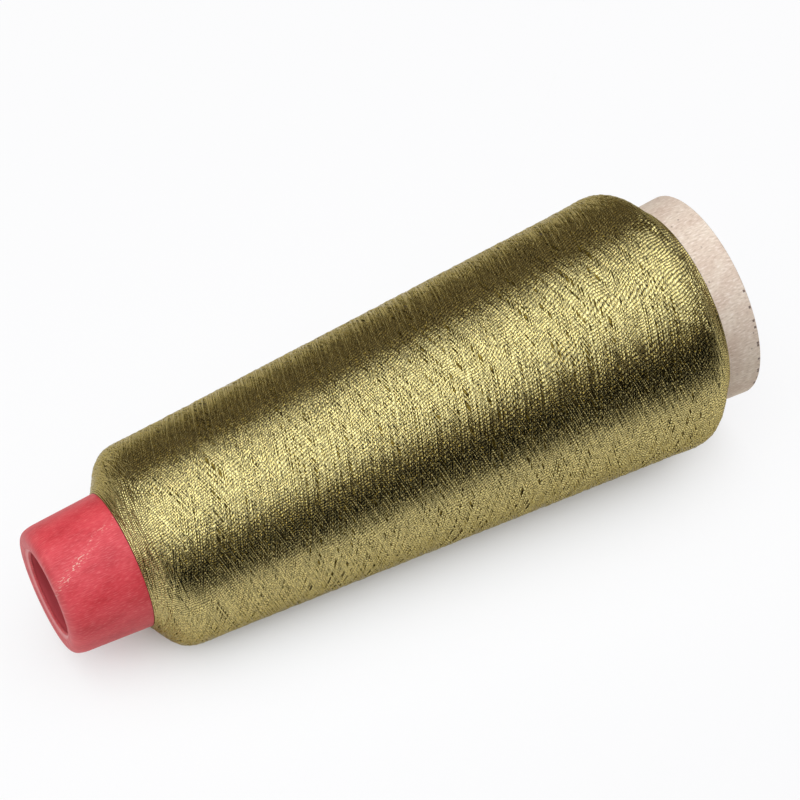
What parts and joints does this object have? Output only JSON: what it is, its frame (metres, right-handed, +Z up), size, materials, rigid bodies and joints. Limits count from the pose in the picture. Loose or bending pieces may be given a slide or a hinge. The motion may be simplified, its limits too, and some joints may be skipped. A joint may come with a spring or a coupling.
{
  "type": "cone of sewing thread",
  "caption": "Cone of metallic sewing thread: a laminated paper cone with a turned-in, dyed nose, cross-wound with gold thread, lying on its side.",
  "frame": {"origin": "on the surface that the thread package lies on, below the middle of the bounding box", "axes": "+X from the nose towards the base of the cone, horizontally; +Z up; the cone's axis lies in the XZ plane and rises 3.5 degrees towards the base"},
  "size_m": [0.1722, 0.064, 0.0632],
  "materials": {
    "inner_paper": "uncoated kraft paper",
    "core_paper": "uncoated kraft paper",
    "outer_paper": "calendered kraft paper",
    "nose_dye": "matte dye lacquer on paper",
    "wound_thread": "metallic thread, wound",
    "outer_thread": "metallic thread"
  },
  "bodies": {
    "root": {"cone_inner_ply": "inner_paper", "cone_middle_ply": "core_paper", "cone_outer_ply": "outer_paper", "nose_dye_film": "nose_dye", "thread_core": "wound_thread", "thread_winding": "outer_thread"}
  },
  "joints": []
}
